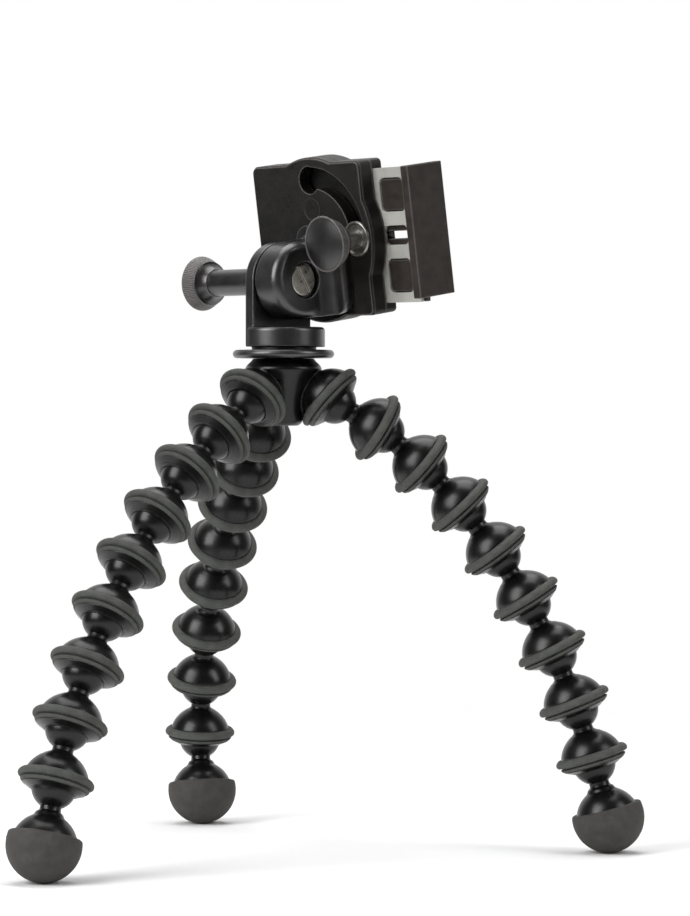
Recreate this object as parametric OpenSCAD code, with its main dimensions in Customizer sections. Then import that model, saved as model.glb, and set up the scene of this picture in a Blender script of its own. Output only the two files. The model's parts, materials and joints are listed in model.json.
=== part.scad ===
// A small tripod with three flexible legs of ball-and-socket links, and a
// tilting, swinging clamp that grips a phone by its long sides.
// All lengths are in millimetres. The floor is z = 0, and the base pans about Z.

/* [Leg links] */
// Distance between the centres of neighbouring balls
link_pitch = 19.2; // [18.9:0.1:20.5]
// Radius of the ball at the top of a link
ball_r = 7.3; // [7:0.1:7.5]
// Radial clearance of a ball in its socket
ball_gap = 0.05; // [0.03:0.01:0.08]
// Radius of the neck under the ball
neck_r = 3.4; // [3:0.1:3.8]
// Radius of the collar on the dome
collar_r = 4.75; // [4.2:0.05:5.2]
// Depth of the collar's top under the ball's centre
collar_drop = 7.7; // [7.6:0.1:7.9]
// Thickness of the collar
collar_t = 2; // [1.6:0.1:2.4]
// Radius of the dome
dome_r = 10.75; // [10.6:0.05:10.8]
// Height of the ring's widest plane over the next ball's centre
ring_rise = 2.6; // [2.4:0.1:2.8]
// Drop of the dome's centre under the ring's widest plane
dome_drop = 1.8; // [1.6:0.1:1.9]
// Height of the socket's lip, from the ring's lower edge to its mouth
lip_h = 1.5; // [1.4:0.1:1.6]
// Outer radius of the lip under the ring
lip_top = 10.35; // [10.2:0.05:10.5]
// Outer radius of the lip at the mouth
lip_r = 7.7; // [7.6:0.05:7.8]

/* [Rubber rings] */
// Outer radius of a ring
ring_r = 12.4; // [12.1:0.1:12.8]
// Radius of the seat that a ring is pressed on
seat_r = 9; // [8.8:0.1:9.1]
// Height of a ring over its widest plane
ring_up = 1.4; // [1.3:0.1:1.5]
// Depth of a ring under its widest plane
ring_down = 2.9; // [2.8:0.1:3]
// Radius of a ring's round outside
ring_bulge = 2.6; // [2.5:0.1:2.8]
// Gap left between a ring and its seat
ring_gap = 0.02; // [0.01:0.01:0.05]

/* [Feet] */
// Radius of a rubber boot
boot_r = 12.15; // [11.8:0.05:12.6]
// Distance from the foot's ball to the centre of its boot
foot_len = 18.5; // [18:0.1:19]
// Height of a boot's rim over its centre
boot_rim = 3; // [2.6:0.1:3.4]
// Drop of the stem's dome centre under the boot's centre
stem_drop = 0.7; // [0.5:0.1:0.9]
// Thickness of rubber under the stem
boot_sole = 6.5; // [5:0.5:8]

/* [Hub] */
// Radius from the hub's axis to the centres of the first balls
socket_radius = 17.35; // [17.2:0.05:18]
// Lean of the hub's sockets from straight down, in degrees
socket_lean = 48; // [46:1:50]
// Radius of the hub's collar
hub_r = 11; // [10.5:0.1:11.5]
// Height of the hub's top over the first balls' centres
hub_rise = 13.7; // [13.4:0.1:14]
// Radius of the boss on top of the hub
hub_boss_r = 9.5; // [9:0.25:10]
// Height of the boss on top of the hub
hub_boss_h = 0.9; // [0.7:0.1:1.1]
// Depth of the hub's core under the first balls' centres
hub_fall = 8; // [7:0.5:9]
// Edge rounding of the hub's collar
hub_edge = 0.8; // [0.6:0.1:1]

/* [Lock disc and base] */
// Radius of the lock disc
disc_r = 17; // [16:0.5:17.5]
// Thickness of the lock disc
disc_t = 2.8; // [2.5:0.1:3]
// Radius of the stud that the base turns on
stud_r = 3.175; // [2.9:0.025:3.4]
// Running clearance on every shaft
run_gap = 0.04; // [0.03:0.01:0.06]
// Gap between faces that slide on each other
face_gap = 0.1; // [0.08:0.01:0.15]
// Radius of the base
base_r = 13.9; // [13.7:0.1:14.5]
// Height of the base's drum
base_h = 6.6; // [6.3:0.1:7]
// Radius of the boss under the base
boss_r = 11; // [10:0.5:12]
// Height of the boss under the base
boss_h = 0.9; // [0.7:0.1:1.1]

/* [Arm and tilt block] */
// Height of the tilt axis over the base's drum
tilt_rise = 15.5; // [15.3:0.1:16.5]
// Tilt of the clamp in the photographed pose, in degrees
tilt_deg = 8.5; // [7:0.5:10]
// Thickness of the arm
arm_t = 4.5; // [4:0.1:5]
// Inner face of the arm, left of the middle plane
arm_in = 0.7; // [0.6:0.1:0.9]
// Radius of the arm's arch and of the lug
lug_r = 13; // [12.8:0.1:13.2]
// Gap between the arm and the lug
lug_gap = 0.3; // [0.2:0.05:0.4]
// Flat outer face of the lug, right of the middle plane
lug_x = 11; // [10.5:0.1:11.5]
// Rounding between the lug's flat face and its rim
lug_round = 2.9; // [2.5:0.1:3]
// Edge rounding of the arm and the block
edge_round = 1.2; // [1:0.1:1.3]
// Radius of the counterbore in the lug
counter_r = 6.2; // [6:0.1:6.5]
// Depth of the counterbore
counter_d = 2.4; // [2.2:0.1:2.6]
// Depth of the clamp plane behind the tilt axis
plane_y = 13.3; // [13.2:0.05:13.4]
// Front face of the flange behind the tilt axis
flange_y = 9.7; // [9.4:0.1:10]
// Outer side of the flange, right of the middle plane
flange_x = 19.25; // [18.75:0.25:19.75]
// Radius of the hollow between the lug and the flange
hollow_r = 5; // [4.6:0.1:5]
// Radius of the flange's outer edge
flange_round = 1.75; // [1.5:0.05:1.9]
// Radius of the flange's two corners
flange_corner = 6; // [5:0.25:7]
// Width of the soft bevel along the block's top and bottom
block_bevel = 1.6; // [1.2:0.1:2]
// Radius of the tongue round the swing pivot
tongue_r = 5.5; // [5:0.1:5.8]

/* [Tilt lock] */
// Radius of the tilt bolt
bolt_r = 2.5; // [2.4:0.1:2.7]
// Radius of the slotted nut
nut_r = 5.15; // [5:0.05:5.3]
// Height of the nut's head
nut_head = 1.4; // [1.2:0.1:1.5]
// Radius of the nut's shank
nut_shank_r = 3.8; // [3.6:0.1:4]
// Length of the nut's shank
nut_len = 6; // [5.5:0.5:6.5]
// Width of the nut's slot
slot_w = 1.1; // [0.9:0.1:1.3]
// Depth of the nut's slot
slot_d = 0.8; // [0.6:0.1:0.9]
// Outer radius of the sleeve round the bolt
sleeve_r = 4.5; // [4.2:0.1:4.8]
// Thickness of the washer at the arm
thrust_t = 1.2; // [1:0.1:1.5]
// Distance from the arm to the tilt knob
knob_reach = 28.8; // [27:0.2:30]

/* [Knobs] */
// Outer radius of a knob
knob_r = 9.4; // [9.2:0.1:9.6]
// Thickness of a knob's knurled band
band_t = 5.2; // [4.8:0.2:5.6]
// Radius of a knob's back edge
back_r = 7.55; // [7.3:0.05:7.8]
// Length of a knob's hollow cone
cone_t = 3.2; // [3:0.1:3.6]
// Crown of a knob's face
crown = 0.9; // [0.7:0.1:1.1]
// Number of ridges round a knob
ridges = 48; // [36:4:56]
// Depth of the ridges
ridge_d = 0.3; // [0.2:0.05:0.4]

/* [Swing] */
// Height of the swing pivot over the tilt axis
pivot_z = 11.9; // [11.7:0.1:12.1]
// Offset of the swing pivot to the right of the base's axis
pivot_x = 3.2; // [3:0.1:3.4]
// Radius of the arc slot about the pivot
arc_r = 21.2; // [20.8:0.1:21.4]
// Radius of the swing pivot's stud
pivot_r = 2.5; // [2.3:0.1:2.8]
// Radius of the boss that runs in the slot
rider_r = 3.2; // [3:0.1:3.3]
// Side clearance of the boss in the slot
rider_gap = 0.25; // [0.2:0.05:0.3]
// Radius of the steel swing bolt
swing_r = 3; // [2.8:0.1:3.1]
// Radius of the bolt's thread
thread_r = 2; // [1.8:0.1:2.2]
// Radius of the dished washer
washer_r = 6; // [5.8:0.1:6.2]
// Thickness of the dished washer
washer_t = 1.2; // [1:0.1:1.4]
// Distance from the clamp plane to the swing knob's outer face
swing_reach = 16.2; // [15.6:0.2:17]
// Radius of the pocket at the free end of the slot
pocket_r = 4.6; // [4.4:0.1:4.8]
// Reach of the swing plate from the pivot
fan_r = 24.8; // [24.6:0.1:25]
// Thickness of the swing plate
fan_t = 1.1; // [1:0.05:1.2]
// Clearance round the swing plate
fan_gap = 0.2; // [0.15:0.05:0.3]

/* [Clamp body] */
// Width of the clamp body
body_w = 53; // [52:0.25:54]
// Thickness of the fixed jaw, from its pad's face to the body's left side
fixed_t = 2.5; // [2.4:0.1:2.7]
// Height of the body's wall over and under the slide
wall_h = 3.4; // [3.3:0.05:3.6]
// Radius of the round swelling about the pivot
swell_r = 28; // [27.8:0.1:28.2]
// Corner radius of the clamp body
corner_r = 2; // [1.5:0.25:2.5]
// Thickness of the front shell
front_t = 5.9; // [5.85:0.05:6]
// Thickness of the front shell's face
face_t = 4.6; // [4.5:0.05:4.65]
// Width of the bevel round the front face
bevel = 0.8; // [0.6:0.1:1]
// Wall between the front shell and the slide channel
web_t = 0.5; // [0.45:0.05:0.6]
// Floor behind the slide channel
floor_t = 1.3; // [1.2:0.1:1.4]
// Height of the slide plate
slide_h = 45; // [44:0.5:46]
// Side clearance of the slide in its channel
slide_gap = 0.2; // [0.15:0.05:0.3]
// Radius of the shell screws
screw_r = 0.8; // [0.75:0.05:0.85]
// Radius of the screws' heads
head_r = 1.3; // [1.25:0.05:1.35]

/* [Jaws] */
// Opening between the pads in the photographed pose
opening = 67; // [64:0.5:70]
// Inner face of the fixed pad, left of the pivot
fixed_x = 22.3; // [22:0.1:22.5]
// Travel of the sliding jaw outward
open_travel = 24; // [20:1:24]
// Travel of the sliding jaw inward
close_travel = 11; // [8:1:11]
// Height of the jaws
jaw_h = 44; // [42:0.5:46]
// Height of the jaws' middle over the pivot
jaw_rise = 1; // [0.5:0.25:1.5]
// Thickness of the sliding jaw's wall
jaw_t = 3.4; // [3:0.1:3.8]
// Front edge of the sliding jaw behind the clamp plane
jaw_front = 3.1; // [2.8:0.1:3.4]
// Reach of the jaws behind the clamp plane
jaw_reach = 19; // [18.5:0.25:20]
// Thickness of the jaw pads
pad_t = 1.6; // [1.4:0.1:1.8]
// Thickness of the seat pads
seat_t = 1; // [0.8:0.1:1.2]
// Thickness of the slide plate
plate_t = 1.5; // [1.3:0.1:1.6]
// Gap round the tongue's bosses and beside the guide rod
boss_gap = 0.35; // [0.25:0.05:0.45]
// Thickness of the sliding jaw's tongue
tongue_t = 1.3; // [1.2:0.1:1.35]
// Width of the metal strip between the windows and the jaw
strip_w = 2.3; // [2:0.1:2.8]
// Radius of the guide rod
rod_r = 0.9; // [0.8:0.05:1]

/* [Hidden] */

$fn = 64;
// One overrun for every cut
eps = 0.5;
// A span larger than the whole part
far = 40 * link_pitch;

// A leg's posture: azimuth of its hub socket, lean of its first link and of
// its foot, how the lean is shared out, and the drift of its azimuth from
// the first link to the foot. Angles are in degrees.
leg_a = [-83, 52, 17, 1.0, -7, 8];
leg_b = [37, 59.4, 13, 0.75, 21, 2];
leg_c = [157, 50.8, -8, 2.1, -2, -3.5];
link_count = 8;

// Lean and azimuth of link k, counted from 0, and its direction
function lean(p, k) = p[1] + (p[2] - p[1]) * pow(k / link_count, p[3]);
function azim(p, k) = p[0] + p[4] + (p[5] - p[4]) * k / link_count;
function dir(l, a) = [sin(l) * cos(a), sin(l) * sin(a), -cos(l)];
function fall(p, k) = k < 0 ? 0 : cos(lean(p, k)) + fall(p, k - 1);

// The first balls' height comes from leg a standing on its boot, and the
// feet of the other legs lean so that their boots reach the same floor
ball_z = boot_r + foot_len * cos(leg_a[2])
    + link_pitch * fall(leg_a, link_count - 1);
function foot_lean(p) = sign(p[2]) * acos((ball_z - boot_r
    - link_pitch * fall(p, link_count - 1)) / foot_len);
function ball_at(p, k) = k == 0
    ? [socket_radius * cos(p[0]), socket_radius * sin(p[0]), ball_z]
    : ball_at(p, k - 1) + link_pitch * dir(lean(p, k - 1), azim(p, k - 1));

ring_z = link_pitch - ring_rise;
socket_r = ball_r + ball_gap;
hub_top = ball_z + hub_rise;
disc_z = hub_top + hub_boss_h + face_gap;
boss_z = disc_z + disc_t + face_gap;
base_z = boss_z + boss_h;
base_top = base_z + base_h;
tilt_z = base_top + tilt_rise;
stud_top = base_z + base_h / 2;
arm_out = arm_in + arm_t;
lug_in = lug_gap - arm_in;
block_back = plane_y - face_gap;

// Depths in the clamp, counted from the clamp plane toward the phone
fan_w = face_t + face_gap;
slide_w = front_t + web_t + face_gap;
tongue_w = slide_w + plate_t;
channel_w = tongue_w + tongue_t + face_gap;
body_t = channel_w + floor_t;
seat_w = body_t + seat_t / 2;

slot_half = rider_r + rider_gap;
wall_x = fixed_x + fixed_t;
body_mid = body_w / 2 - wall_x;
body_h = slide_h + 2 * wall_h;
jaw_x = opening - fixed_x;
jaw_out = jaw_x + jaw_t - pad_t / 4;
slide_end = close_travel - jaw_out / 4;
channel_x = fixed_x - eps;
jaw_lo = jaw_rise - jaw_h / 2;

// A half plane, to keep the right side of a profile
module right_half() {
    intersection() {
        children();
        translate([0, -far / 2]) square([far / 2, far]);
    }
}

// The outline of a rounded rectangle with its centre at the origin
module round_rect(w, h, r) {
    square([w - 2 * r, h], center = true);
    square([w, h - 2 * r], center = true);
    for (x = [-1, 1], y = [-1, 1])
        translate([x * (w / 2 - r), y * (h / 2 - r)]) circle(r);
}

module at_link(p, k) {
    translate(ball_at(p, k)) rotate([0, -lean(p, k), azim(p, k)]) children();
}

module at_foot(p) {
    translate(ball_at(p, link_count))
        rotate([0, -foot_lean(p), azim(p, link_count)]) children();
}

module at_socket(p) {
    translate([socket_radius * cos(p[0]), socket_radius * sin(p[0]), ball_z])
        rotate([0, -socket_lean, p[0]]) children();
}

// The tilting frame has its origin on the tilt axis, and Y toward the phone
module tilt_frame() {
    translate([0, 0, tilt_z]) rotate([tilt_deg, 0, 0]) children();
}

// The clamp's frame has its origin on the clamp plane at the swing pivot's
// height, X to the right, Y up the clamp and Z toward the viewer
module clamp_frame() {
    tilt_frame() translate([0, plane_y, pivot_z]) rotate([90, 0, 0])
        children();
}

// The same frame with its origin on the swing pivot
module pivot_frame() {
    clamp_frame() translate([pivot_x, 0, 0]) children();
}

// A flat layer between two depths behind the clamp plane
module layer(w0, w1) {
    translate([0, 0, -w1]) linear_extrude(w1 - w0) children();
}

// Cone under the ring, down to the socket's mouth
module lip_profile() {
    lip_z = ring_rise - ring_down;
    polygon([[0, lip_z], [lip_top, lip_z],
        [lip_r + lip_h / 3, lip_z - lip_h * 5 / 6], [lip_r, lip_z - lip_h],
        [0, lip_z - lip_h]]);
}

// Socket end of a link, from the next ball's centre at the origin
module socket_profile(top) {
    difference() {
        union() {
            intersection() {
                translate([0, ring_rise - dome_drop]) circle(dome_r);
                translate([0, ring_rise + ring_up])
                    square([dome_r, top]);
            }
            translate([0, ring_rise - ring_down])
                square([seat_r, ring_up + ring_down]);
            lip_profile();
        }
        circle(socket_r);
        translate([0, -socket_r - eps]) square([ball_r / 2, socket_r]);
    }
}

module ring_profile() {
    intersection() {
        translate([seat_r + ring_gap, ring_rise - ring_down + ring_gap])
            square([ring_r - seat_r, ring_up + ring_down - 2 * ring_gap]);
        translate([ring_r - ring_bulge, ring_rise - (ring_down - ring_up) / 3])
            circle(ring_bulge);
    }
}

module ring() {
    color("#55554f") rotate_extrude() ring_profile();
}

module ball_and_neck() {
    right_half() circle(ball_r);
    translate([0, -collar_drop - collar_t / 2])
        square([neck_r, collar_drop + collar_t / 2]);
    translate([0, -collar_drop - collar_t]) square([collar_r, collar_t]);
}

// A link: the moulding and the rubber ring on it
module leg_link(p, n) {
    at_link(p, n - 1) {
        color("#151414") rotate_extrude() {
            ball_and_neck();
            translate([0, -link_pitch]) socket_profile(dome_r);
        }
        translate([0, 0, -link_pitch]) ring();
    }
}

// The foot's stem: its dome goes down into the boot
module stem_dome() {
    intersection() {
        translate([0, -foot_len - stem_drop]) circle(dome_r);
        translate([0, -foot_len - boot_r + boot_sole])
            square([dome_r, foot_len + boot_r - boot_sole]);
    }
}

module leg_foot(p) {
    color("#151414") at_foot(p) rotate_extrude() {
        ball_and_neck();
        stem_dome();
    }
}

module leg_boot(p) {
    rim = boot_rim / 3;
    color("#4a4845") at_foot(p) rotate_extrude() difference() {
        intersection() {
            translate([0, -foot_len]) right_half() circle(boot_r);
            translate([0, -foot_len - boot_r])
                square([boot_r, boot_r + boot_rim]);
        }
        stem_dome();
        // The dome's top stays open
        translate([0, -foot_len - stem_drop])
            square([dome_r - rim, boot_r]);
    }
}

// One arm of the hub: a socket and the dome behind it
module hub_lobe(p) {
    at_socket(p) rotate_extrude() {
        intersection() {
            translate([0, ring_rise - dome_drop]) circle(dome_r);
            translate([0, ring_rise + ring_up]) square(dome_r);
        }
        translate([0, ring_rise - ring_down])
            square([seat_r, ring_up + ring_down]);
        lip_profile();
    }
}

module hub() {
    prow_z = ball_z - ring_rise;
    color("#1d1b1b") difference() {
        union() {
            for (p = [leg_a, leg_b, leg_c]) hub_lobe(p);
            // The column, with a collar on top and the prow between sockets
            rotate_extrude() {
                translate([0, prow_z])
                    square([hub_r, hub_top - hub_edge - prow_z]);
                translate([0, prow_z])
                    square([hub_r - hub_edge, hub_top - prow_z]);
                translate([hub_r - hub_edge, hub_top - hub_edge])
                    circle(hub_edge);
                translate([0, prow_z])
                    square([hub_boss_r, hub_top + hub_boss_h - prow_z]);
                translate([0, ball_z - hub_fall])
                    square([hub_r * 2 / 3, hub_fall]);
                polygon([[0, prow_z], [hub_r, prow_z],
                    [hub_r * 5 / 6, prow_z - neck_r / 2],
                    [hub_r * 2 / 3, prow_z - neck_r * 2 / 3],
                    [0, prow_z - neck_r]]);
            }
        }
        for (p = [leg_a, leg_b, leg_c]) {
            at_socket(p) {
                sphere(socket_r);
                translate([0, 0, -far]) cylinder(far, r = ball_r / 2);
                // Room for the collar of the first link
                difference() {
                    translate([0, 0, ring_rise - ring_down - lip_h - far])
                        cylinder(far, r = lip_r);
                    translate([0, 0, -far]) cylinder(far, r = ball_r / 4);
                }
            }
        }
        // Room for the rings of the other sockets' neighbours
        for (p = [leg_a, leg_b, leg_c]) at_socket(p)
            rotate_extrude() difference() {
                translate([0, ring_rise - ring_down])
                    square([ring_r + eps, ring_up + ring_down]);
                translate([0, ring_rise - 2 * ring_down])
                    square([seat_r, 4 * ring_down]);
            }
        // The stud's thread
        translate([0, 0, ball_z]) cylinder(far, r = stud_r);
    }
}

module hub_rings() {
    for (p = [leg_a, leg_b, leg_c]) at_socket(p) ring();
}

module lock_stud() {
    color("#9a9a98") translate([0, 0, ball_z])
        cylinder(stud_top - ball_z, r = stud_r);
}

module lock_disc() {
    color("#201e1e") translate([0, 0, disc_z]) rotate_extrude() difference() {
        union() {
            square([disc_r - disc_t / 2, disc_t]);
            translate([disc_r - disc_t / 2, disc_t / 2]) circle(disc_t / 2);
        }
        translate([0, -eps]) square([stud_r + run_gap, disc_t + 2 * eps]);
    }
}

// The arm's side view, with Y to the right and the tilt axis at the origin
module arm_outline(r) {
    circle(r);
    translate([-r, base_z - tilt_z]) square([2 * r, tilt_z - base_z]);
}

module base() {
    color("#262424") difference() {
        union() {
            // Drum, cut off flush with the arm's inner face
            intersection() {
                translate([0, 0, base_z]) rotate_extrude() {
                    square([base_r - edge_round, base_h]);
                    square([base_r, base_h - edge_round]);
                    translate([base_r - edge_round, base_h - edge_round])
                        circle(edge_round);
                }
                translate([-arm_in - arm_t / 2, -far / 2, base_z - eps])
                    cube([far, far, far]);
            }
            // Arm, with a rounded outer edge
            translate([-arm_out, 0, tilt_z]) rotate([90, 0, 90]) {
                translate([0, 0, edge_round])
                    linear_extrude(arm_t - edge_round) arm_outline(lug_r);
                linear_extrude(arm_t) arm_outline(lug_r - edge_round);
            }
            translate([-arm_out, 0, tilt_z]) rotate([0, 90, 0])
                rotate_extrude() translate([lug_r - edge_round, edge_round])
                    circle(edge_round);
            translate([-arm_out + edge_round, 0, base_z])
                for (y = [-1, 1])
                    translate([0, y * (lug_r - edge_round), 0])
                        cylinder(tilt_rise + base_h, r = edge_round);
            // Boss on the lock disc
            translate([0, 0, boss_z])
                cylinder(boss_h + base_h / 2, r = boss_r);
        }
        translate([0, 0, boss_z - eps])
            cylinder(stud_top - boss_z + 2 * eps, r = stud_r + run_gap);
        // The tilt bolt's hole
        translate([-arm_out - eps, 0, tilt_z]) rotate([0, 90, 0])
            cylinder(arm_t + 2 * eps, r = bolt_r + run_gap);
        // The boss stops at the arm's outer face
        translate([-arm_out - far, -far / 2, boss_z - eps])
            cube([far, far, tilt_z]);
    }
}

// Plan of the block's back, with the hollow between the lug and the flange
module block_plan() {
    difference() {
        union() {
            translate([lug_in, 0])
                square([lug_x - lug_in, block_back]);
            translate([lug_in, flange_y])
                square([flange_x - flange_round - lug_in,
                    block_back - flange_y]);
            translate([lug_in, flange_y + flange_round])
                square([flange_x - lug_in,
                    block_back - flange_y - flange_round]);
            translate([flange_x - flange_round, flange_y + flange_round])
                circle(flange_round);
            translate([lug_x, flange_y - hollow_r])
                square([hollow_r, hollow_r]);
        }
        translate([lug_x + hollow_r, flange_y - hollow_r]) circle(hollow_r);
    }
}

// The block seen from the front
module block_face() {
    w = flange_x - lug_in;
    translate([lug_in + w / 2 - lug_r / 2, 0])
        round_rect(w + lug_r, 2 * lug_r, flange_corner);
}

// The block seen from its right side
module block_side() {
    b = block_bevel;
    polygon([[-lug_r, -lug_r], [block_back - b, -lug_r],
        [block_back - b / 3, -lug_r + b / 3], [block_back, -lug_r + b],
        [block_back, lug_r - b], [block_back - b / 3, lug_r - b / 3],
        [block_back - b, lug_r], [-lug_r, lug_r]]);
}

module tilt_block() {
    color("#262424") tilt_frame() difference() {
        union() {
            // Round lug
            rotate([0, 90, 0]) rotate_extrude() {
                translate([0, lug_in + edge_round])
                    square([lug_r, lug_x - lug_in - edge_round - lug_round]);
                translate([0, lug_in])
                    square([lug_r - edge_round, lug_x - lug_in]);
                translate([lug_r - edge_round, lug_in + edge_round])
                    circle(edge_round);
                translate([lug_r - lug_round, lug_x - lug_round])
                    circle(lug_round);
            }
            // Square back and flange, with soft edges and round corners
            intersection() {
                translate([0, 0, -lug_r])
                    linear_extrude(2 * lug_r) block_plan();
                rotate([90, 0, 0]) linear_extrude(far, center = true)
                    block_face();
                rotate([90, 0, 90]) linear_extrude(far, center = true)
                    block_side();
            }
            // Tongue that carries the swing pivot
            translate([0, flange_y, 0]) rotate([-90, 0, 0])
                linear_extrude(block_back - flange_y) {
                    translate([pivot_x, -pivot_z]) circle(tongue_r);
                    translate([lug_in, -pivot_z])
                        square([pivot_x + tongue_r - lug_in, pivot_z]);
                }
        }
        translate([lug_in - eps, 0, 0]) rotate([0, 90, 0])
            cylinder(lug_x, r = nut_shank_r);
        // The tongue stays clear of the arm's round top
        translate([lug_in - far, 0, 0]) rotate([0, 90, 0])
            cylinder(far, r = lug_r + lug_gap);
        translate([lug_x - counter_d, 0, 0]) rotate([0, 90, 0])
            cylinder(counter_d + eps, r = counter_r);
        translate([pivot_x, 0, pivot_z]) rotate([-90, 0, 0])
            cylinder(far, r = pivot_r);
        // Room for the swing bolt's washer
        translate([pivot_x + arc_r, 0, pivot_z]) rotate([-90, 0, 0])
            cylinder(far, r = washer_r + lug_gap);
    }
}

// Slotted nut, pressed into the lug, with its head in the counterbore
module tilt_nut() {
    head_x = lug_x - counter_d;
    color("#c9c6c0") tilt_frame() difference() {
        translate([head_x, 0, 0]) rotate([0, 90, 0]) rotate_extrude() {
            square([nut_r - nut_head / 4, nut_head]);
            square([nut_r, nut_head * 3 / 4]);
            translate([nut_r - nut_head / 4, nut_head * 3 / 4])
                circle(nut_head / 4);
            translate([0, -nut_len]) square([nut_shank_r, nut_len]);
        }
        translate([head_x - nut_len - eps, 0, 0]) rotate([0, 90, 0])
            cylinder(nut_len + nut_head / 4, r = bolt_r + run_gap);
        rotate([-20, 0, 0])
            translate([head_x + nut_head - slot_d, -slot_w / 2, -nut_r - eps])
                cube([nut_head, slot_w, 2 * (nut_r + eps)]);
    }
}

module tilt_bolt() {
    tip = lug_x - counter_d - nut_len / 4;
    color("#8f8f8d") translate([-arm_out - knob_reach, 0, tilt_z])
        rotate([0, 90, 0]) cylinder(tip + arm_out + knob_reach, r = bolt_r);
}

module tilt_sleeve() {
    len = knob_reach - thrust_t - 2 * face_gap;
    color("#201e1e") translate([-arm_out - thrust_t - face_gap, 0, tilt_z])
        rotate([0, -90, 0]) rotate_extrude() translate([bolt_r, 0]) {
            square([sleeve_r - bolt_r, len]);
            // Fine ribs near the arm
            for (i = [1 : 3]) translate([sleeve_r - bolt_r, i * thrust_t])
                circle(thrust_t / 5);
        }
}

module thrust_washer() {
    color("#3c3a3a") translate([-arm_out - face_gap, 0, tilt_z])
        rotate([0, -90, 0]) rotate_extrude() translate([bolt_r, 0])
            square([sleeve_r + thrust_t / 2 - bolt_r, thrust_t]);
}

// A knob with its bore on Z, its hollow cone from z = 0 and its crowned face
// at the top
module knob(bore) {
    face_r = knob_r - 2 * ridge_d;
    arch_r = (face_r * face_r + crown * crown) / (2 * crown);
    difference() {
        union() {
            rotate_extrude() {
                difference() {
                    square([back_r - ridge_d, cone_t + band_t / 4]);
                    // Hollow cone
                    translate([back_r, 0]) circle(cone_t * 9 / 10);
                }
                // Crowned face
                intersection() {
                    translate([0, cone_t + band_t / 4])
                        square([face_r, band_t * 3 / 4]);
                    translate([0, cone_t + band_t + crown / 4 - arch_r])
                        circle(arch_r);
                }
            }
            // Ridged band, narrower at the back
            translate([0, 0, cone_t + band_t - crown]) mirror([0, 0, 1])
                linear_extrude(band_t - crown, scale = back_r / knob_r)
                    polygon([for (i = [0 : 2 * ridges - 1])
                        let (r = knob_r - (i % 2) * ridge_d,
                            a = 180 * i / ridges) [r * cos(a), r * sin(a)]]);
        }
        translate([0, 0, -eps]) cylinder(cone_t + band_t / 2 + eps, r = bore);
    }
}

module tilt_knob() {
    color("#262424") translate([-arm_out - knob_reach, 0, tilt_z])
        rotate([0, -90, 0]) knob(bolt_r);
}

module swing_pivot() {
    color("#8f8f8d") pivot_frame() {
        translate([0, 0, -fan_w - fan_t])
            cylinder(fan_w + fan_t + plane_y - flange_y, r = pivot_r);
    }
}

// Arm fixed to the tilt block by the pivot, with the swing bolt at its end
module fan_outline() {
    difference() {
        union() {
            circle(2 * pivot_r);
            translate([arc_r, 0]) circle(fan_r - arc_r);
            polygon([[0, -2 * pivot_r], [arc_r, arc_r - fan_r],
                [arc_r, fan_r - arc_r], [0, 2 * pivot_r]]);
        }
        circle(pivot_r);
        translate([arc_r, 0]) circle(thread_r + run_gap);
    }
}

module swing_plate() {
    color("#2e2c2b") pivot_frame() layer(fan_w, fan_w + fan_t) fan_outline();
}

module swing_rider() {
    color("#8f8f8d") pivot_frame() translate([arc_r, 0, -fan_w])
        difference() {
            cylinder(fan_w - face_gap, r = rider_r);
            translate([0, 0, -eps])
                cylinder(fan_w + 2 * eps, r = thread_r + run_gap);
        }
}

module swing_bolt() {
    color("#8f8f8d") pivot_frame() translate([arc_r, 0, 0]) {
        translate([0, 0, -fan_w - fan_t])
            cylinder(fan_w + fan_t + washer_t + face_gap, r = thread_r);
        translate([0, 0, face_gap + washer_t])
            cylinder(swing_reach - band_t - washer_t, r = swing_r);
    }
}

module swing_washer() {
    color("#8b8a86") pivot_frame() translate([arc_r, 0, face_gap])
        rotate_extrude() translate([thread_r, 0]) {
            square([washer_r - thread_r, washer_t / 2]);
            // Raised rim
            translate([washer_r - thread_r - washer_t / 2, washer_t / 2])
                circle(washer_t / 2);
            square([swing_r - thread_r, washer_t]);
        }
}

module swing_knob() {
    color("#262424") pivot_frame()
        translate([arc_r, 0, swing_reach - band_t - cone_t])
            knob(swing_r);
}

// Outline of the clamp body, drawn in by an even margin
module body_outline(m) {
    translate([body_mid, 0])
        round_rect(body_w - 2 * m, body_h - 2 * m, corner_r);
    translate([pivot_x, 0]) circle(swell_r - m);
}

// Arc slot of the given half width, from the swing bolt to the free end
module arc_slot(h) {
    intersection() {
        difference() {
            circle(arc_r + h);
            circle(arc_r - h);
        }
        square(far);
    }
    translate([arc_r, 0]) circle(h);
    translate([0, arc_r]) circle(h);
}

module screw_places() {
    for (x = [-1, 1], y = [-1, 1])
        translate([x * slide_h * 2 / 5,
            y * (slide_h + slide_gap + wall_h) / 2]) children();
}

module clamp_front() {
    color("#2b2624") clamp_frame() difference() {
        union() {
            layer(bevel, front_t) body_outline(0);
            layer(0, bevel) body_outline(bevel / 2);
        }
        // Round chamber of the swing plate
        translate([pivot_x, 0, 0]) {
            layer(face_t, front_t + eps) circle(fan_r + fan_gap);
            layer(-eps, face_t + eps) arc_slot(slot_half);
            // Pocket at the free end of the slot
            layer(-eps, face_t + eps) translate([0, arc_r - slot_half / 4])
                circle(pocket_r);
            layer(-eps, face_t + eps) circle(pivot_r + run_gap);
            // Shallow round mark over the pivot
            layer(-eps, bevel / 4) translate([0, arc_r / 2])
                circle(pivot_r * 3 / 2);
        }
        screw_tip = front_t - face_t / 2;
        layer(screw_tip, front_t + eps) screw_places() circle(screw_r);
    }
}

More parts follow.
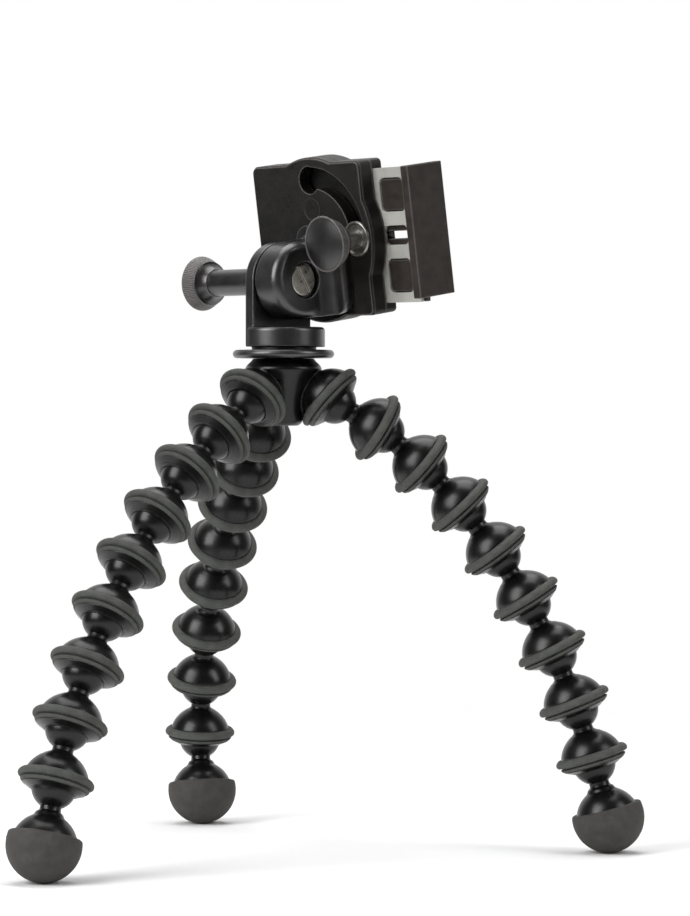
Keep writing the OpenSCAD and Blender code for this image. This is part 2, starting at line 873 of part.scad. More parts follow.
module clamp_rear() {
    color("#2b2624") clamp_frame() difference() {
        union() {
            layer(front_t, body_t) body_outline(0);
            // Fixed jaw
            translate([0, jaw_lo, 0]) layer(front_t, jaw_reach) translate(
                [-wall_x, 0]) square([wall_x - fixed_x - pad_t / 2, jaw_h]);
        }
        // Channel of the slide, open to the right
        layer(front_t + web_t, channel_w) translate(
            [-channel_x, -slide_h / 2 - slide_gap])
            square([far, slide_h + 2 * slide_gap]);
        // Recess of the fixed pad
        translate([0, jaw_lo, 0]) layer(body_t + pad_t, jaw_reach - pad_t)
            translate([-fixed_x - pad_t, pad_t])
                square([pad_t + eps, jaw_h - 2 * pad_t]);
        layer(front_t - eps, body_t + eps) screw_places() circle(screw_r);
        layer(body_t - floor_t, body_t + eps) screw_places() circle(head_r);
        layer(body_t - seat_t / 2, body_t + eps) seat_outline();
        guide_rod_space(rod_r, -channel_x - rod_in, 0);
        guide_rod_space(rod_r + run_gap, -channel_x, far);
    }
}

// Rod that the jaw's spring is hung on, held in the rear shell
module guide_rod_space(r, x0, x1) {
    translate([x0, 0, -rod_w]) rotate([0, 90, 0]) cylinder(x1 - x0, r = r);
}

module guide_rod() {
    color("#9a9a98") clamp_frame()
        guide_rod_space(rod_r, -channel_x - rod_in, rod_end);
}

module clamp_screws() {
    color("#8f8f8d") clamp_frame() {
        screw_tip = front_t - face_t / 2;
        layer(screw_tip, body_t) screw_places() circle(screw_r);
        layer(body_t - floor_t, body_t - floor_t / 4)
            screw_places() circle(head_r);
    }
}

module fixed_pad() {
    color("#3a3937") clamp_frame() translate([0, jaw_lo, 0])
        layer(body_t + pad_t, jaw_reach - pad_t)
            translate([-fixed_x - pad_t, pad_t])
                square([pad_t, jaw_h - 2 * pad_t]);
}

// Two pads behind the phone
module seat_outline() {
    for (y = [-1, 1]) translate([0, y * slide_h / 4])
        round_rect(slide_h * 2 / 3, slide_h / 5, corner_r);
}

module seat_pads() {
    color("#3a3937") clamp_frame() layer(body_t - seat_t / 2, seat_w)
        seat_outline();
}

// Windows of the slide plate, counted from its middle
window_x = jaw_x - pad_t / 2 - strip_w;
window_w = slide_h / 4;
rod_w = tongue_w + rod_r + face_gap;
rod_in = wall_x - channel_x - floor_t;
rod_end = window_x - window_w + floor_t;
module outer_windows(m) {
    for (y = [-1, 1]) translate([window_x - window_w / 2,
        y * slide_h * 3 / 10])
        round_rect(window_w - m, slide_h / 4 - m, corner_r - m / 2);
}

module slide_plate() {
    color("#c9c9c2") clamp_frame() difference() {
        layer(slide_w, slide_w + plate_t) difference() {
            translate([slide_end, -slide_h / 2])
                square([jaw_x - slide_end, slide_h]);
            outer_windows(0);
            translate([window_x - window_w / 2, 0])
                round_rect(window_w, slide_h / 7, corner_r);
        }
        rivet_holes();
    }
}

module rivet_places() {
    for (y = [-1, 1]) translate([slide_end + corner_r * 2,
        y * slide_h / 4]) children();
}

module rivet_holes() {
    layer(slide_w - eps, tongue_w + tongue_t + eps)
        rivet_places() circle(screw_r);
}

module jaw_rivets() {
    color("#8f8f8d") clamp_frame() layer(slide_w, tongue_w + tongue_t)
        rivet_places() circle(screw_r);
}

module sliding_jaw() {
    color("#2b2624") clamp_frame() difference() {
        union() {
            // Wall of the jaw
            translate([0, jaw_lo, 0]) layer(jaw_front, jaw_reach)
                translate([jaw_x, 0]) square([jaw_t, jaw_h]);
            // Tongue behind the metal plate, with a boss in each outer window
            layer(tongue_w, tongue_w + tongue_t)
                translate([slide_end, -slide_h / 2])
                    square([jaw_x - slide_end + jaw_t / 2, slide_h]);
            layer(slide_w + plate_t / 4, tongue_w + tongue_t / 2)
                outer_windows(2 * boss_gap);
        }
        // Groove of the guide rod
        layer(slide_w - eps, tongue_w + tongue_t + eps)
            translate([slide_end - eps, -rod_r - boss_gap])
                square([rod_end + close_travel + boss_gap - slide_end + eps,
                    2 * (rod_r + boss_gap)]);
        // Recess of the pad
        translate([0, jaw_lo, 0]) layer(body_t + pad_t, jaw_reach - pad_t)
            translate([jaw_x - eps, pad_t])
                square([pad_t / 2 + eps, jaw_h - 2 * pad_t]);
        rivet_holes();
    }
}

module jaw_pad() {
    color("#3a3937") clamp_frame() translate([0, jaw_lo, 0])
        layer(body_t + pad_t, jaw_reach - pad_t)
            translate([jaw_x - pad_t / 2, pad_t])
                square([pad_t, jaw_h - 2 * pad_t]);
}

hub();
hub_rings();
lock_stud();
lock_disc();
base();
tilt_block();
tilt_nut();
tilt_bolt();
tilt_sleeve();
thrust_washer();
tilt_knob();
swing_pivot();
swing_plate();
swing_rider();
swing_bolt();
swing_washer();
swing_knob();
clamp_front();
clamp_rear();
clamp_screws();
guide_rod();
fixed_pad();
seat_pads();
slide_plate();
sliding_jaw();
jaw_rivets();
jaw_pad();
leg_link(leg_a, 1);  // leg_a_link_1
leg_link(leg_a, 2);  // leg_a_link_2
leg_link(leg_a, 3);  // leg_a_link_3
leg_link(leg_a, 4);  // leg_a_link_4
leg_link(leg_a, 5);  // leg_a_link_5
leg_link(leg_a, 6);  // leg_a_link_6
leg_link(leg_a, 7);  // leg_a_link_7
leg_link(leg_a, 8);  // leg_a_link_8
leg_foot(leg_a);  // leg_a_foot
leg_boot(leg_a);  // leg_a_boot
leg_link(leg_b, 1);  // leg_b_link_1
leg_link(leg_b, 2);  // leg_b_link_2
leg_link(leg_b, 3);  // leg_b_link_3
leg_link(leg_b, 4);  // leg_b_link_4
leg_link(leg_b, 5);  // leg_b_link_5
leg_link(leg_b, 6);  // leg_b_link_6
leg_link(leg_b, 7);  // leg_b_link_7
leg_link(leg_b, 8);  // leg_b_link_8
leg_foot(leg_b);  // leg_b_foot
leg_boot(leg_b);  // leg_b_boot
leg_link(leg_c, 1);  // leg_c_link_1
leg_link(leg_c, 2);  // leg_c_link_2
leg_link(leg_c, 3);  // leg_c_link_3
leg_link(leg_c, 4);  // leg_c_link_4
leg_link(leg_c, 5);  // leg_c_link_5
leg_link(leg_c, 6);  // leg_c_link_6
leg_link(leg_c, 7);  // leg_c_link_7
leg_link(leg_c, 8);  // leg_c_link_8
leg_foot(leg_c);  // leg_c_foot
leg_boot(leg_c);  // leg_c_boot
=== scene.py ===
"""Dresses the flexible-leg phone tripod: pieces, finishes, studio and camera."""

import json
import math

import bmesh
import bpy
from mathutils import Matrix, Vector


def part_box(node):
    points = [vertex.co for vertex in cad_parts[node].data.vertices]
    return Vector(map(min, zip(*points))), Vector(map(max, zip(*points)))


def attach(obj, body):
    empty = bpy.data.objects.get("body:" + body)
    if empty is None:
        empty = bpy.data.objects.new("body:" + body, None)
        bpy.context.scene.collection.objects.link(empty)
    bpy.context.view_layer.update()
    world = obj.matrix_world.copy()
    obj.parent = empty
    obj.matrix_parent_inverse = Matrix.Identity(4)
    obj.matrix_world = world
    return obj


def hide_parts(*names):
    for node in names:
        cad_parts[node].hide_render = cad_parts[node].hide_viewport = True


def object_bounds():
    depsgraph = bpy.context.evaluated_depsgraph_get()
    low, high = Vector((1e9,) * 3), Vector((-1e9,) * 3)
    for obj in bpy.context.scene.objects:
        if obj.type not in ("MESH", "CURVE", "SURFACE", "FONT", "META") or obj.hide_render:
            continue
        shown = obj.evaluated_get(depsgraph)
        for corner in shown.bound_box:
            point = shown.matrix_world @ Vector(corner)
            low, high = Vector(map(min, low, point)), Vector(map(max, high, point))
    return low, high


bl_info = {
    "name": "Flexible-leg phone tripod",
    "version": (1, 0, 0),
    "blender": (4, 5, 0),
    "location": "3D View > Sidebar > Tripod",
    "description": "Builds the looks of a small tripod with ball-and-socket legs and a phone clamp",
    "category": "Object",
}

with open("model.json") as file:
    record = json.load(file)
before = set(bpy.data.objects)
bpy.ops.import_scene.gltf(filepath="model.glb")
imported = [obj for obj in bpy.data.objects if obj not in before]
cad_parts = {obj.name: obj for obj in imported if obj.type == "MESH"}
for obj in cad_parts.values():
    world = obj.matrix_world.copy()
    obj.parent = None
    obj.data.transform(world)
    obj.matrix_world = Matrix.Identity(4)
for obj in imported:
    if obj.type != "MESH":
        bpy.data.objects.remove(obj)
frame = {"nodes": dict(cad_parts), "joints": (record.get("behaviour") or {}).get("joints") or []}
CAD_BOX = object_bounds()
JOINTS = {j["name"]: j for j in frame["joints"]}

MM = 0.001
LEGS = ("a", "b", "c")
LINKS = range(1, 9)
# Tilt of the clamp in the photographed pose
TILT = math.radians(8.5)
# Lean of the hub's sockets from straight down, and turn of the nut, in degrees
HUB_LEAN = 48
NUT_TURN = 43
# Edges sharper than this, in degrees, stay sharp on a melted moulding
MELTED_EDGE = 60

# Socket of a link, in mm: the dome's centre under the ring's widest plane, the
# ring's seat above and below that plane, and the lip under the seat
DOME_DROP = 1.8
SEAT_UP = 1.4
SEAT_DOWN = 2.9
LIP_H = 1.5

# Foot, in mm: the stem's dome under the boot's centre, the stem's end above
# the floor, and the boot's rim above its centre
STEM_DROP = 0.7
STEM_END = 6.5
BOOT_RIM = 3.0

# Camera of the photograph: turn and azimuth in degrees, distance and height in
# metres, then focal length, picture and the tripod's place in it in pixels
CAMERA_TURN = 48
CAMERA_AZIMUTH = CAMERA_TURN - 90
CAMERA_FAR = 1.34
CAMERA_HEIGHT = 0.1505
FOCAL_PX = 4000
PICTURE = (690, 916)
AXIS_PX = (283.5, 404)
SENSOR_MM = 36
# Direction from the camera to the white sweep, and brightness of the dim room
SWEEP = (-0.743, 0.669, 0.0)
ROOM_FILL = 0.11


# Sizes and colours that a user would change

class LegSizes(bpy.types.PropertyGroup):
    """Sizes of the links, rings, stems and boots"""

    ball_r: bpy.props.FloatProperty(
        name="Ball radius",
        description="Radius of a link's ball, in mm",
        default=7.3, min=7.0, max=7.5)
    socket_gap: bpy.props.FloatProperty(
        name="Socket gap",
        description="Clearance of a ball in its socket, in mm",
        default=0.05, min=0.03, max=0.08)
    neck_r: bpy.props.FloatProperty(
        name="Neck radius",
        description="Radius of the neck under a ball, in mm",
        default=3.4, min=3.0, max=3.8)
    collar_r: bpy.props.FloatProperty(
        name="Collar radius",
        description="Radius of the collar on a dome, in mm",
        default=4.75, min=4.2, max=5.2)
    collar_top: bpy.props.FloatProperty(
        name="Collar depth",
        description="Depth of the collar's top under the ball's centre, in mm",
        default=7.7, min=7.6, max=7.9)
    dome_r: bpy.props.FloatProperty(
        name="Dome radius",
        description="Radius of a link's dome, in mm",
        default=10.75, min=10.6, max=10.8)
    pitch: bpy.props.FloatProperty(
        name="Pitch",
        description="Distance between neighbouring balls, in mm",
        default=19.2, min=18.9, max=20.5)
    ring_rise: bpy.props.FloatProperty(
        name="Ring height",
        description="Height of a ring's widest plane over the next ball, in mm",
        default=2.6, min=2.4, max=2.8)
    ring_r: bpy.props.FloatProperty(
        name="Ring radius",
        description="Outer radius of a rubber ring, in mm",
        default=12.4, min=12.1, max=12.8)
    seat_r: bpy.props.FloatProperty(
        name="Seat radius",
        description="Radius of the seat under a ring, in mm",
        default=9.0, min=8.8, max=9.1)
    boot_r: bpy.props.FloatProperty(
        name="Boot radius",
        description="Radius of a rubber boot, in mm",
        default=12.15, min=11.8, max=12.6)
    foot_len: bpy.props.FloatProperty(
        name="Foot length",
        description="Distance from the foot's ball to its boot's centre, in mm",
        default=18.5, min=18.0, max=19.0)


class KnobSizes(bpy.types.PropertyGroup):
    """Sizes of the two knobs"""

    face_r: bpy.props.FloatProperty(
        name="Face radius",
        description="Radius of a knob at its outer face, in mm",
        default=9.4, min=9.2, max=9.6)
    back_r: bpy.props.FloatProperty(
        name="Back radius",
        description="Radius of a knob at its back edge, in mm",
        default=7.55, min=7.3, max=7.8)
    ridges: bpy.props.IntProperty(
        name="Ridges",
        description="Number of ridges round a knob",
        default=84, min=36, max=100)


class FinishColours(bpy.types.PropertyGroup):
    """Colours of the finishes, as sRGB hex"""

    links: bpy.props.StringProperty(
        name="Links",
        description="sRGB colour of the polished links",
        default="#0a0909")
    rings: bpy.props.StringProperty(
        name="Rings",
        description="sRGB colour of the rubber rings",
        default="#464744")
    boots: bpy.props.StringProperty(
        name="Boots",
        description="sRGB colour of the rubber boots",
        default="#3c3a38")
    head: bpy.props.StringProperty(
        name="Head",
        description="sRGB colour of the base, arm and block",
        default="#0e0c0d")
    clamp: bpy.props.StringProperty(
        name="Clamp",
        description="sRGB colour of the clamp body",
        default="#110f0e")
    plate: bpy.props.StringProperty(
        name="Slide plate",
        description="sRGB colour of the slide plate",
        default="#a9a8a2")


# Materials

def linear(hex_colour):
    """sRGB hex as Blender's linear colour."""
    parts = [int(hex_colour[i : i + 2], 16) / 255 for i in (1, 3, 5)]
    return [c / 12.92 if c <= 0.04045 else ((c + 0.055) / 1.055) ** 2.4 for c in parts] + [1.0]


def add(tree, kind, links=(), **settings):
    """Adds a node, sets its properties and sockets, and links its inputs."""
    node = tree.nodes.new(kind)
    for key, value in settings.items():
        if hasattr(node, key):
            setattr(node, key, value)
        else:
            node.inputs[key.replace("_", " ")].default_value = value
    for socket, source in links:
        tree.links.new(source, node.inputs[socket])
    return node


def shader(name, colour, roughness, metallic=0.0, ior=1.5, specular=0.5):
    """A principled material with its plain values set on its own sockets."""
    mat = bpy.data.materials.new(name)
    mat.use_nodes = True
    tree = mat.node_tree
    bsdf = tree.nodes["Principled BSDF"]
    bsdf.inputs["Base Color"].default_value = linear(colour)
    bsdf.inputs["Roughness"].default_value = roughness
    bsdf.inputs["Metallic"].default_value = metallic
    bsdf.inputs["IOR"].default_value = ior
    bsdf.inputs["Specular IOR Level"].default_value = specular
    return mat, tree, bsdf


def grain(tree, bsdf, size_mm, depth_mm, detail=4.0):
    """Even moulded or blasted grain of a real size, as bump. Returns the
    coordinates, for the patterns laid over it."""
    where = add(tree, "ShaderNodeTexCoord")
    noise = add(tree, "ShaderNodeTexNoise", [("Vector", where.outputs["Object"])],
                Scale=1.0 / (size_mm * MM), Detail=detail, Roughness=0.6)
    bump = add(tree, "ShaderNodeBump", [("Height", noise.outputs["Fac"])],
               Strength=1.0, Distance=depth_mm * MM)
    tree.links.new(bump.outputs["Normal"], bsdf.inputs["Normal"])
    return where


def mottle(tree, bsdf, where, dark, light, size_mm):
    """Slow colour variation between two close colours."""
    cloud = add(tree, "ShaderNodeTexNoise", [("Vector", where.outputs["Object"])],
                Scale=1.0 / (size_mm * MM), Detail=3.0, Roughness=0.55)
    ramp = add(tree, "ShaderNodeValToRGB", [("Fac", cloud.outputs["Fac"])])
    ramp.color_ramp.elements[0].position = 0.35
    ramp.color_ramp.elements[1].position = 0.68
    ramp.color_ramp.elements[0].color = linear(dark)
    ramp.color_ramp.elements[1].color = linear(light)
    tree.links.new(ramp.outputs["Color"], bsdf.inputs["Base Color"])
    return cloud


def rough_range(tree, bsdf, cloud, low, high):
    """Roughness that drifts between two values, as handled plastic does."""
    spread = add(tree, "ShaderNodeMapRange", [("Value", cloud.outputs["Fac"])],
                 From_Min=0.3, From_Max=0.7, To_Min=low, To_Max=high)
    tree.links.new(spread.outputs["Result"], bsdf.inputs["Roughness"])


def painted_over(tree, bsdf, mask, colour):
    """Lays a plain colour over the base colour where the mask is high."""
    under = bsdf.inputs["Base Color"].links[0].from_socket
    mix = add(tree, "ShaderNodeMix", [(0, mask), (6, under)], data_type="RGBA")
    mix.inputs[7].default_value = linear(colour)
    tree.links.new(mix.outputs[2], bsdf.inputs["Base Color"])


def painted_edge_highlights(tree, bsdf, light, width_mm=0.45, amount=0.7):
    """Painted highlight on convex edges: a lighter colour laid there, so each edge
    draws the thin bright line that light on its rounding gives. Short rays inside the wall find them."""
    near = add(tree, "ShaderNodeAmbientOcclusion", inside=True, only_local=True, samples=4,
               Distance=width_mm * MM)
    edge = add(tree, "ShaderNodeMapRange", [("Value", near.outputs["AO"])],
               From_Min=0.95, From_Max=0.7, To_Min=0.0, To_Max=amount)
    painted_over(tree, bsdf, edge.outputs["Result"], light)


def shade(colour, factor):
    """The hex colour, made lighter or darker."""
    parts = [min(255, max(0, round(int(colour[i : i + 2], 16) * factor))) for i in (1, 3, 5)]
    return "#%02x%02x%02x" % tuple(parts)


def polished_abs(colour):
    """ABS from a polished mould: near black, with soft-edged lamp reflections."""
    mat, tree, bsdf = shader("polished ABS", colour, 0.3, specular=0.38)
    where = grain(tree, bsdf, 2.5, 0.012, detail=2.0)
    cloud = mottle(tree, bsdf, where, shade(colour, 0.85), shade(colour, 1.2), 6)
    rough_range(tree, bsdf, cloud, 0.25, 0.35)
    return mat


def moulded_rubber(name, colour, grain_mm):
    """Soft moulded rubber: matt, a little dusty, no clear reflection."""
    mat, tree, bsdf = shader(name, colour, 0.72, specular=0.35)
    where = grain(tree, bsdf, grain_mm, 0.05, detail=5.0)
    cloud = mottle(tree, bsdf, where, shade(colour, 0.9), shade(colour, 1.12), 3.5)
    rough_range(tree, bsdf, cloud, 0.64, 0.8)
    return mat


def satin_nylon(colour):
    """Glass-filled nylon from a lightly blasted mould: satin, with broad sheen."""
    mat, tree, bsdf = shader("satin nylon", colour, 0.32, specular=1.0)
    where = grain(tree, bsdf, 0.35, 0.012, detail=3.0)
    cloud = mottle(tree, bsdf, where, shade(colour, 0.9), shade(colour, 1.15), 5)
    rough_range(tree, bsdf, cloud, 0.28, 0.37)
    # Painted highlight: a lighter grey on convex edges stands in for the light they catch
    painted_edge_highlights(tree, bsdf, "#6a6462")
    return mat


def grained_abs(name, colour):
    """ABS from a spark-eroded mould: an even fine grain that kills the gloss.
    The real grain is about 0.1 mm; 0.4 mm is the finest that shows here."""
    mat, tree, bsdf = shader(name, colour, 0.52, ior=1.53, specular=0.3)
    where = grain(tree, bsdf, 0.4, 0.06, detail=6.0)
    cloud = mottle(tree, bsdf, where, shade(colour, 0.88), shade(colour, 1.15), 4)
    rough_range(tree, bsdf, cloud, 0.42, 0.55)
    # Painted highlight: a lighter grey on convex edges stands in for the light they catch
    painted_edge_highlights(tree, bsdf, "#7c7672")
    return mat


def coated_sheet(colour):
    """Pressed steel sheet with a pale powder coat."""
    mat, tree, bsdf = shader("powder-coated sheet", colour, 0.42)
    where = grain(tree, bsdf, 0.3, 0.015, detail=3.0)
    cloud = mottle(tree, bsdf, where, shade(colour, 0.96), shade(colour, 1.03), 7)
    rough_range(tree, bsdf, cloud, 0.36, 0.5)
    return mat


def bright_nickel():
    """Nickel plate on a turned nut: bright and a little clouded, with painted shade, a dark brown,
    in its slot and in the corner under its head."""
    mat, tree, bsdf = shader("bright nickel", "#d3cfc6", 0.3, metallic=1.0)
    where = grain(tree, bsdf, 0.5, 0.01, detail=3.0)
    cloud = mottle(tree, bsdf, where, "#c6c1b6", "#dedad1", 2)
    rough_range(tree, bsdf, cloud, 0.26, 0.38)
    # Painted shade: dark brown where short rays are blocked, in the slot and under the head
    open_sky = add(tree, "ShaderNodeAmbientOcclusion", samples=4, Distance=1.2 * MM)
    slot_shade = add(tree, "ShaderNodeMapRange", [("Value", open_sky.outputs["AO"])],
               From_Min=0.45, From_Max=0.85, To_Min=0.85, To_Max=0.0)
    painted_over(tree, bsdf, slot_shade.outputs["Result"], "#2a2622")
    return mat


def turned_steel(name, colour, roughness):
    """Steel turned on a lathe and tumbled: grey metal with blurred reflections."""
    mat, tree, bsdf = shader(name, colour, roughness, metallic=1.0)
    where = grain(tree, bsdf, 0.4, 0.02, detail=4.0)
    cloud = mottle(tree, bsdf, where, shade(colour, 0.86), shade(colour, 1.08), 3)
    rough_range(tree, bsdf, cloud, roughness * 0.85, roughness * 1.25)
    return mat


# Mesh helpers

def arc(x, z, r, start, end, steps):
    """Points of an arc in a profile, in mm, with angles in degrees."""
    turn = [math.radians(start + (end - start) * i / steps) for i in range(steps + 1)]
    return [(x + r * math.cos(t), z + r * math.sin(t)) for t in turn]


def curve_through(points, steps=5):
    """A smooth line through a few given profile points."""
    out = []
    for i in range(len(points) - 1):
        p0 = points[max(i - 1, 0)]
        p1, p2 = points[i], points[i + 1]
        p3 = points[min(i + 2, len(points) - 1)]
        for step in range(steps):
            t = step / steps
            out.append(tuple(
                0.5 * (2 * b + (c - a) * t + (2 * a - 5 * b + 4 * c - d) * t * t
                       + (3 * b - a - 3 * c + d) * t ** 3)
                for a, b, c, d in zip(p0, p1, p2, p3)))
    return out + [points[-1]]


def turned(name, profile, around=96, closed=False):
    """Mesh of a profile, in mm, turned about Z. A point on the axis is a pole."""
    bm = bmesh.new()
    rings = []
    for r, z in profile:
        if r < 1e-4:
            rings.append([bm.verts.new((0, 0, z * MM))])
        else:
            rings.append([bm.verts.new((r * MM * math.cos(2 * math.pi * i / around),
                                        r * MM * math.sin(2 * math.pi * i / around), z * MM))
                          for i in range(around)])
    pairs = list(zip(rings, rings[1:]))
    if closed:
        pairs.append((rings[-1], rings[0]))
    for low, high in pairs:
        for i in range(around):
            j = (i + 1) % around
            if len(low) == 1 and len(high) == 1:
                continue
            if len(low) == 1:
                bm.faces.new((low[0], high[j], high[i]))
            elif len(high) == 1:
                bm.faces.new((low[i], low[j], high[0]))
            else:
                bm.faces.new((low[i], low[j], high[j], high[i]))
    bmesh.ops.recalc_face_normals(bm, faces=bm.faces)
    mesh = bpy.data.meshes.new(name)
    bm.to_mesh(mesh)
    bm.free()
    smooth(mesh)
    return mesh


def smooth(mesh, angle=35):
    """Smooth shading, with edges sharper than the angle, in degrees, kept."""
    mesh.polygons.foreach_set("use_smooth", [True] * len(mesh.polygons))
    mesh.set_sharp_from_angle(angle=math.radians(angle))


def squared(mesh, matrix, slack=0.0003):
    """A turned piece whose box would pass the CAD box has its mesh turned
    instead of its object, so that its box stays as tight as its shape."""
    low = [min(v.co[i] for v in mesh.vertices) for i in range(3)]
    high = [max(v.co[i] for v in mesh.vertices) for i in range(3)]
    for x in (low[0], high[0]):
        for y in (low[1], high[1]):
            for z in (low[2], high[2]):
                corner = matrix @ Vector((x, y, z))
                if any(corner[i] < CAD_BOX[0][i] - slack or corner[i] > CAD_BOX[1][i] + slack
                       for i in range(3)):
                    own = mesh.copy()
                    own.transform(matrix.to_3x3().to_4x4())
                    return own, Matrix.Translation(matrix.translation)
    return mesh, matrix


def place(name, mesh, matrix, body, material, *nodes, finish=None):
    """Makes a piece, lets it ride on its body and stand for its CAD nodes."""
    if not mesh.materials:
        mesh.materials.append(material)
    mesh, matrix = squared(mesh, matrix)
    piece = bpy.data.objects.new(name, mesh)
    bpy.context.scene.collection.objects.link(piece)
    piece.matrix_world = matrix
    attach(piece, body)
    if nodes:
        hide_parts(*nodes)
    return piece


def point(joint):
    """Where a joint stands at rest."""
    return Vector(JOINTS[joint]["pos_m"])


def along(start, direction):
    """Matrix that puts a piece's origin at start and its -Z along direction."""
    spin = (-direction).to_track_quat("Z", "Y")
    return Matrix.Translation(start) @ spin.to_matrix().to_4x4()


def tilt_axis():
    """The tilting frame: origin on the tilt axis, Y toward the phone."""
    return Matrix.Translation(point("clamp_tilt")) @ Matrix.Rotation(TILT, 4, "X")


def recoat(node, material):
    """A CAD node whose shape is right gets a better finish."""
    mesh = frame["nodes"][node].data
    mesh.materials.clear()
    mesh.materials.append(material)


def apply_all(piece):
    """Applies a piece's modifiers to its mesh."""
    graph = bpy.context.evaluated_depsgraph_get()
    done = bpy.data.meshes.new_from_object(piece.evaluated_get(graph))
    piece.modifiers.clear()
    piece.data = done
    return done


def thin_out(piece, ratio):
    """Fewer faces where the surface is plain."""
    thin = piece.modifiers.new("thin", "DECIMATE")
    thin.ratio = ratio
    smooth(apply_all(piece), MELTED_EDGE)


def melt(piece, voxel, passes, keep=1.0):
    """Fuses a piece's shells and rounds its edges as a mould's are."""
    remesh = piece.modifiers.new("remesh", "REMESH")
    remesh.mode = "VOXEL"
    remesh.voxel_size = voxel * MM
    ease = piece.modifiers.new("ease", "SMOOTH")
    ease.factor = 0.5
    ease.iterations = passes
    if keep < 1.0:
        thin = piece.modifiers.new("thin", "DECIMATE")
        thin.ratio = keep
    material = piece.data.materials[0]
    done = apply_all(piece)
    done.materials.clear()
    done.materials.append(material)
    smooth(done, MELTED_EDGE)


def softened(name, nodes, body, material, voxel=0.22, passes=3, tilted=False, keep=1.0):
    """A moulding taken over from CAD nodes, with every edge rounded as a mould's
    is: remeshed square to its own frame with voxels in mm, smoothed in a few
    passes, then thinned out to the share of its faces to keep."""
    turn = tilt_axis() if tilted else Matrix.Identity(4)
    bm = bmesh.new()
    for node in nodes:
        bm.from_mesh(frame["nodes"][node].data)
    bmesh.ops.remove_doubles(bm, verts=bm.verts, dist=1e-6)
    mesh = bpy.data.meshes.new(name)
    bm.to_mesh(mesh)
    bm.free()
    mesh.transform(turn.inverted())
    mesh.materials.clear()
    piece = bpy.data.objects.new(name, mesh)
    bpy.context.scene.collection.objects.link(piece)
    mesh.materials.append(material)
    melt(piece, voxel, passes, keep)
    piece.matrix_world = turn
    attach(piece, body)
    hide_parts(*nodes)
    return piece


# Profiles of the legs' mouldings, in mm, downward from a ball's centre

def dome_top(sizes):
    """Angle on the dome where the collar's flare runs out."""
    return math.degrees(math.acos((sizes.collar_r + 1.4) / sizes.dome_r))


def ball_arc(sizes):
    """Ball of a link or a foot, from its top down to its neck."""
    neck_z = -math.sqrt(sizes.ball_r ** 2 - sizes.neck_r ** 2)
    return arc(0, 0, sizes.ball_r, 90, math.degrees(math.atan2(neck_z, sizes.neck_r)), 22)


def collar_flare(sizes, dome_z):
    """The collar opens like a trumpet from the neck into the dome."""
    rim, top = sizes.collar_r, -sizes.collar_top
    high = dome_z + math.sqrt(sizes.dome_r ** 2 - (rim + 0.25) ** 2) + 0.09
    low = dome_z + math.sqrt(sizes.dome_r ** 2 - (rim + 0.85) ** 2) + 0.02
    return curve_through([(sizes.neck_r, top + 0.3), (sizes.neck_r + 0.12, top - 0.1),
                          (sizes.neck_r + 0.5, top - 0.45), (rim - 0.4, top - 0.78),
                          (rim + 0.25, high), (rim + 0.85, low)], 4)


def socket_profile(sizes, ball_z, dome_start):
    """Dome, ring seat, lip and socket round a ball centred at ball_z."""
    ring_z = ball_z + sizes.ring_rise
    dome_z = ring_z - DOME_DROP
    seat_top, seat_low = ring_z + SEAT_UP, ring_z - SEAT_DOWN
    mouth = seat_low - LIP_H
    drop = ball_z - mouth
    socket = sizes.ball_r + sizes.socket_gap
    mouth_r = math.sqrt(socket ** 2 - drop ** 2)
    dome_low = math.degrees(math.asin((seat_top - dome_z) / sizes.dome_r))
    return (arc(0, dome_z, sizes.dome_r, dome_start, dome_low + 1.2, 20)
            + [(math.sqrt(sizes.dome_r ** 2 - (seat_top - dome_z) ** 2) - 0.05, seat_top + 0.02),
               (sizes.seat_r, seat_top), (sizes.seat_r, seat_low + 0.05)]
            + [(sizes.seat_r + 0.05, seat_low), (10.2, seat_low), (10.33, seat_low - 0.08),
               (10.3, seat_low - 0.2), (9.0, mouth + 0.7), (8.45, mouth + 0.42),
               (8.25, mouth + 0.36), (8.1, mouth + 0.2)]
            + arc(7.55, mouth + 0.15, 0.15, 0, -90, 4)
            + [(mouth_r + 0.12, mouth), (mouth_r + 0.02, mouth + 0.08)]
            + arc(0, ball_z, socket, -math.degrees(math.asin((drop - 0.15) / socket)), 90, 18))


# Operators

